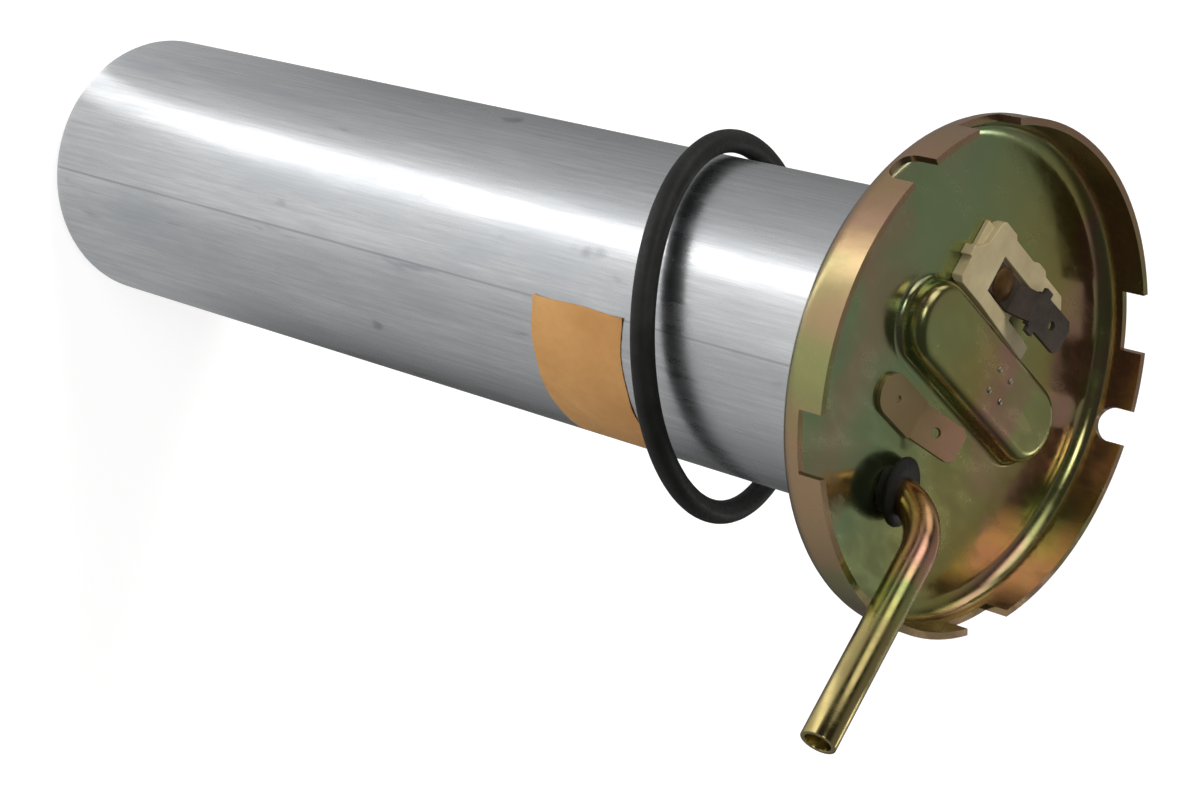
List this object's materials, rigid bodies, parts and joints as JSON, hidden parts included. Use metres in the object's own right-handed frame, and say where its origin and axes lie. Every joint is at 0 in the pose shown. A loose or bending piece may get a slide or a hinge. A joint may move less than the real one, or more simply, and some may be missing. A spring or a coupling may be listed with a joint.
{
  "type": "fuel tank sending unit",
  "caption": "Tube-type fuel level sender: a flanged tube holding a float that slides on a rod, with a bent outlet pipe, push-on terminals and a loose sealing ring.",
  "frame": {"origin": "centre of the flange's seating face, on the axis of the tube", "axes": "+Z out of the tank along the tube's axis, +X along the flange's raised pad, and the outlet pipe leaves towards -Y"},
  "size_m": [0.086, 0.1113, 0.2384],
  "materials": {
    "zinc_flange": "yellow zinc plating with iridescent tints",
    "zinc_pipe": "yellow zinc plating, glossy",
    "zinc_inside": "zinc plated",
    "drawn_aluminium": "satin, drawn lengthwise",
    "bright_steel": "bright",
    "black_rubber": "satin",
    "ivory_nylon": "semi matte moulding",
    "white_nylon": "semi matte moulding",
    "insulator_board": "phenolic board",
    "float_foam": "closed-cell foam",
    "tan_paper": "bare paper tape",
    "aged_brass": "aged",
    "strainer_brass": "bright",
    "spring_bronze": "rolled",
    "dark_blade": "darkened",
    "plated_tab": "plated, satin"
  },
  "bodies": {
    "sender": {"flange_plate": "zinc_flange", "sender_tube": "drawn_aluminium", "outlet_pipe": "zinc_pipe", "pipe_collar": "black_rubber", "pickup_strainer": "strainer_brass", "terminal_block": "ivory_nylon", "terminal_rivet": "aged_brass", "signal_spade": "dark_blade", "inner_washer": "insulator_board", "contact_strip": "spring_bronze", "ground_tab": "plated_tab", "paper_label": "tan_paper", "carrier_bracket": "zinc_inside", "bracket_rivets": "zinc_inside", "upper_insulator": "insulator_board", "lower_insulator": "insulator_board", "guide_rod": "bright_steel", "rod_nuts": "zinc_inside", "resistance_wire": "bright_steel", "return_wire": "spring_bronze", "signal_leaf": "spring_bronze", "ground_leaf": "spring_bronze", "leaf_rivets": "strainer_brass", "wire_eyelets": "strainer_brass", "upper_stop": "black_rubber", "lower_stop": "black_rubber"},
    "float": {"float_body": "float_foam", "float_bushes": "white_nylon", "contact_bridge": "spring_bronze", "bridge_rivets": "strainer_brass"},
    "ring": {"sealing_ring": "black_rubber"}
  },
  "joints": [
    {"name": "float_slide", "type": "slide", "parent": "sender", "child": "float", "axis": [0, 0, 1], "range_m": [0, 0.1368]},
    {"name": "ring_slide", "type": "slide", "parent": "sender", "child": "ring", "axis": [0, 0, 1], "range_m": [-0.15, 0.035]}
  ]
}
